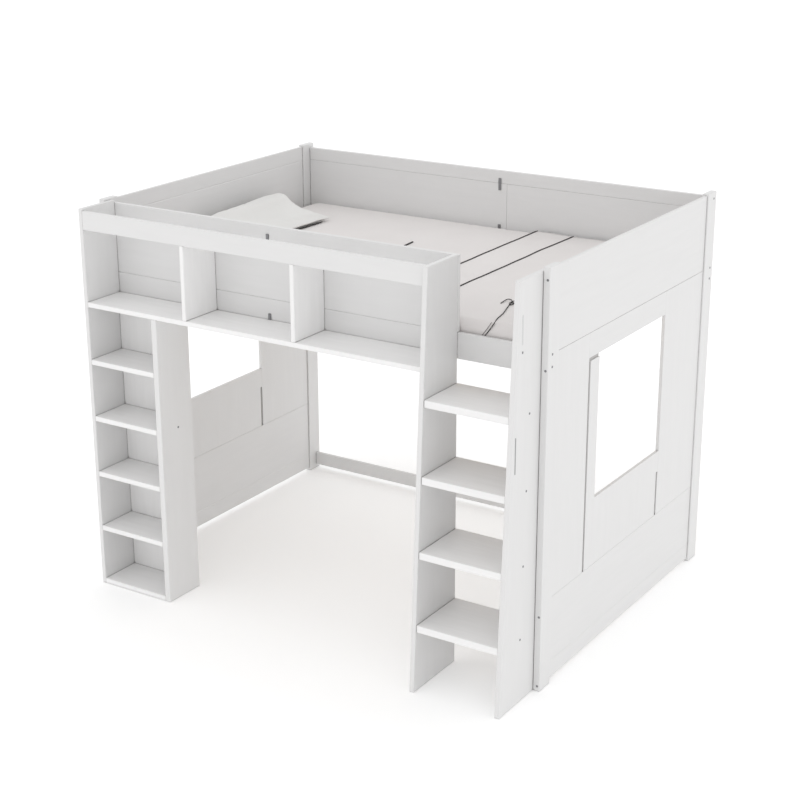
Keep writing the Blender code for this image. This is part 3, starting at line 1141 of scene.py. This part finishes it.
@dataclass
class Coverlet:
    """The coverlet across the foot end, with its dark piping and one tie."""

    mattress: Mattress
    head_edge: float = 0.228
    second_line: float = 0.409
    foot_edge: float = 0.890
    hem: float = 1.333
    thick: float = 0.0040
    clear: float = 0.0022           # between the cloth and the mattress
    front_clear: float = 0.0030
    back_inset: float = 0.004
    columns: int = 84
    drop_steps: int = 8
    bend_steps: int = 10
    top_steps: int = 60
    fold: float = 0.0034
    crinkle: float = 0.0016
    wave: float = 0.0010
    settle_reach: float = 0.10      # the folds fade out this far from the front edge
    piping: float = 0.0032
    tie_share: float = 0.55         # the tie's radius, as a share of the piping's
    thread_share: float = 0.30
    tie_lay: tuple[tuple[float, float], ...] = (
        (0.6990, -0.2680), (0.7150, -0.3225), (0.7370, -0.3905), (0.7450, -0.4255),
        (0.7540, -0.4695), (0.7680, -0.5100))
    tie_fall: tuple[Point, ...] = (     # X, distance behind the front line, height
        (0.7740, 0.010, 1.384), (0.7690, 0.001, 1.372), (0.7580, 0.0, 1.356),
        (0.7440, 0.0, 1.338))

    def profile(self) -> list[tuple[float, float]]:
        """Draw the line from the front hem up and over to the back hem.

        Returns:
            The line, as (y, z) pairs.
        """
        low, high = self.mattress.low, self.mattress.high
        radius = self.mattress.radius
        top = high.z + self.clear
        front = low.y - self.front_clear
        line = [(front, self.hem + (top - radius - self.hem) * n / self.drop_steps)
                for n in range(self.drop_steps)]
        line += [(front + radius * (1 - math.cos(a)), top - radius + radius * math.sin(a))
                 for a in (math.pi / 2 * n / self.bend_steps
                           for n in range(self.bend_steps + 1))]
        start = line[-1][0]
        run = high.y - self.back_inset - start
        line += [(start + run * n / self.top_steps, top)
                 for n in range(1, self.top_steps + 1)]
        return line

    def lie(self, x: float, y: float, z: float) -> Vector:
        """Place one point of the cloth, with its soft folds, just above the mattress.

        Args:
            x: The point's X.
            y: Its Y on the profile.
            z: Its height on the profile.

        Returns:
            The point.
        """
        if z < self.mattress.high.z - self.mattress.radius:
            wave = self.wave * noise.noise(Vector((x * 16.0, 0.0, z * 9.0)))
            return Vector((x, y - abs(wave), z))
        if y < self.mattress.low.y + self.mattress.radius:
            return Vector((x, y, z))
        return Vector((x, y, self.height(x, y)))

    def height(self, x: float, y: float) -> float:
        """Work out the height of the cloth's underside on top of the bed.

        Args:
            x: The place's X.
            y: The place's Y.

        Returns:
            The height.
        """
        ground = self.mattress.surface(x, y)
        folds = self.fold * max(noise.noise(Vector((x * 4.2, y * 2.1, 8.0))), -0.35)
        folds += self.crinkle * (1.0 + noise.noise(Vector((x * 12.0, y * 7.0, 2.0))))
        inside = (y - self.mattress.low.y - self.mattress.radius) / self.settle_reach
        return (max(ground + self.clear, self.mattress.high.z - 0.0010)
                + folds * min(1.0, max(0.0, inside)))

    def grid(self) -> list[list[Vector]]:
        """Place all the cloth's points.

        Returns:
            One row of points for each step of the profile.
        """
        line = self.profile()
        width = self.foot_edge - self.head_edge
        return [[self.lie(self.head_edge + width * n / self.columns, y, z)
                 for n in range(self.columns + 1)] for y, z in line]

    def line_at(self, x: float) -> list[Vector]:
        """Draw a line over the cloth at one place along the bed.

        Args:
            x: The place along the bed.

        Returns:
            The line.
        """
        return [self.lie(x, y, z) + Vector((0.0, 0.0, self.piping * 0.5))
                for y, z in self.profile()]

    def length(self) -> float:
        """Return the cut length of the cloth, hem to hem."""
        line = self.profile()
        return sum(math.dist(a, b) for a, b in zip(line, line[1:]))

    def tie(self) -> tuple[list[list[Vector]], list[list[Vector]]]:
        """Lay out the tie with its bow, and the thin thread beside it.

        Returns:
            The paths of the tie, and the paths of the thread.
        """
        top = [(x, y, self.height(x, y) + self.piping * 0.7) for x, y in self.tie_lay]
        front = self.mattress.low.y - 0.0080
        fall = [(x, front + behind, z) for x, behind, z in self.tie_fall]
        knot = Vector(top[0])
        bow = [curve_through([tuple(knot), (knot.x - 0.012, knot.y + 0.030, knot.z + 0.004),
                              (knot.x - 0.036, knot.y + 0.038, knot.z + 0.002),
                              (knot.x - 0.034, knot.y - 0.018, knot.z)], 8)]
        for way in (1, -1):
            bow.append([knot + Vector((0.010 + 0.010 * math.cos(a), way * 0.010
                                       + 0.008 * math.sin(a), 0.004 + 0.003 * math.sin(a)))
                        for a in turns(16)])
        second = [(x - 0.012, y - 0.004, z - 0.001) for x, y, z in top[5:]]
        second += [(x - 0.012, y, z) for x, y, z in fall]
        return [curve_through(top + fall, 8), *bow], [curve_through(second, 8)]

    def build(self, finish: bpy.types.Material, trim: bpy.types.Material) -> None:
        """Build the cloth, its piping and its tie.

        Args:
            finish: The cloth.
            trim: The dark cloth of the piping and the tie.
        """
        shape = bmesh.new()
        rows = [[shape.verts.new(point) for point in row] for row in self.grid()]
        for low, high in zip(rows, rows[1:]):
            for n in range(self.columns):
                shape.faces.new((low[n], low[n + 1], high[n + 1], high[n]))
        cloth = new_piece("coverlet_cloth", shape, finish, False)
        if cloth.data.polygons[len(cloth.data.polygons) // 2].normal.z < 0:
            cloth.data.flip_normals()
        wall = cloth.modifiers.new("thickness", "SOLIDIFY")
        wall.thickness = self.thick
        wall.offset = 1.0
        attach(cloth, BODY)
        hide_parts("coverlet")
        lines = bmesh.new()
        for x in (self.head_edge + self.piping, self.second_line):
            tube(lines, [p + Vector((0, 0, self.thick * 0.8)) for p in self.line_at(x)[10:]],
                 self.piping)
        for paths, share in zip(self.tie(), (self.tie_share, self.thread_share)):
            for path in paths:
                tube(lines, [p + Vector((0, 0, self.thick)) for p in path],
                     self.piping * share)
        piping = new_piece("coverlet_piping", lines, trim)
        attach(piping, BODY)
        self.length()
        LOG.info("coverlet: %d faces", len(cloth.data.polygons))


@dataclass
class SmallTie:
    """The short dark tie in the middle of the bed."""

    radius: float = 0.0034
    lay: tuple[tuple[float, float], ...] = ((-0.134, 0.262), (-0.139, 0.320), (-0.143, 0.378))

    def build(self, finish: bpy.types.Material, rest: Ground) -> None:
        """Lay the tie on the mattress.

        Args:
            finish: The dark cloth.
            rest: The height of the mattress.
        """
        shape = bmesh.new()
        tube(shape, curve_through([(x, y, rest(x, y) + self.radius * 0.8)
                                   for x, y in self.lay]), self.radius)
        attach(new_piece("short_tie", shape, finish), BODY)
        LOG.info("short tie laid")


@dataclass
class Studio:
    """Pale floor, soft light and the camera."""

    camera_place: Point = (3.6503, -5.6398, 3.1416)
    camera_turn: Point = (math.radians(70.76), math.radians(0.17), math.radians(32.64))
    lens: float = 75.8
    sky: float = 1.0
    floor_half: float = 30.0
    lamp_size: float = 3.0
    lamp_aim: Point = (0.0, 0.0, 0.9)
    lamps: tuple[tuple[str, Point, float], ...] = (     # name, place, power
        ("key_light", (-2.0, -6.5, 4.5), 3.0),
        ("side_light", (6.5, -1.5, 3.5), 0.2))

    def floor(self) -> None:
        """Lay the floor."""
        shape = bmesh.new()
        bmesh.ops.create_grid(shape, x_segments=1, y_segments=1, size=self.floor_half)
        obj = from_shape("studio_floor", shape)
        obj.data.materials.append(PaleFloor().build())

    def lights(self) -> None:
        """Hang the soft lights and set the sky."""
        bpy.context.scene.view_settings.view_transform = "Standard"
        world = bpy.data.worlds.new("studio_sky")
        bpy.context.scene.world = world
        world.use_nodes = True
        back = world.node_tree.nodes["Background"]
        back.inputs["Color"].default_value = WHITE
        back.inputs["Strength"].default_value = self.sky
        for name, place, power in self.lamps:
            lamp = bpy.data.lights.new(name, "AREA")
            lamp.size = self.lamp_size
            lamp.energy = power
            obj = hang(name, lamp)
            obj.location = place
            aim = Vector(self.lamp_aim) - Vector(place)
            obj.rotation_euler = aim.to_track_quat("-Z", "Y").to_euler()

    def camera(self) -> None:
        """Set the camera at the catalogue view."""
        data = bpy.data.cameras.new("catalogue_camera")
        data.lens = self.lens
        data.sensor_width = 36.0
        data.clip_end = 200.0
        obj = hang("catalogue_camera", data)
        obj.location = self.camera_place
        obj.rotation_euler = self.camera_turn
        bpy.context.scene.camera = obj

    def build(self) -> None:
        """Build the whole studio."""
        self.floor()
        self.lights()
        self.camera()
        LOG.info("studio ready")


def main() -> None:
    """Build the bed's looks piece by piece."""
    Studio().build()
    PaintedFrame().dress()
    ScrewHeads().build(bpy.data.materials["zinc_steel"])
    # Painted shade: the slots' hollows are drawn as dark and lighter grey pieces.
    dark = PaintedBoard("slot_shade", (0.33, 0.33, 0.33), (0.28, 0.28, 0.28), Grain.ALONG_Z)
    pale = PaintedBoard("slot_pale", (0.66, 0.66, 0.66), (0.62, 0.62, 0.62), Grain.ALONG_Z)
    GripSlots().build(dark.build(), pale.build())
    ticking = Cotton("mattress_ticking", (0.765, 0.735, 0.725), (0.74, 0.71, 0.70)).build()
    linen = Cotton("pillow_linen", (0.78, 0.775, 0.76), (0.75, 0.745, 0.73)).build()
    quilt = Cotton("coverlet_weave", (0.765, 0.735, 0.725), (0.735, 0.705, 0.695),
                   thread_scale=55.0, crumple=0.0020, crumple_scale=9.0).build()
    trim = Cotton("dark_trim", (0.035, 0.030, 0.030), (0.020, 0.018, 0.018),
                  crumple=0.0004, sheen=0.1).build()
    mattress = Mattress()
    mattress.build(ticking)
    pillow = Pillow()
    pillow.build(linen, mattress.surface)
    pillow.trim(trim)
    Coverlet(mattress).build(quilt, trim)
    SmallTie().build(trim, mattress.surface)


if __name__ == "__main__":
    main()
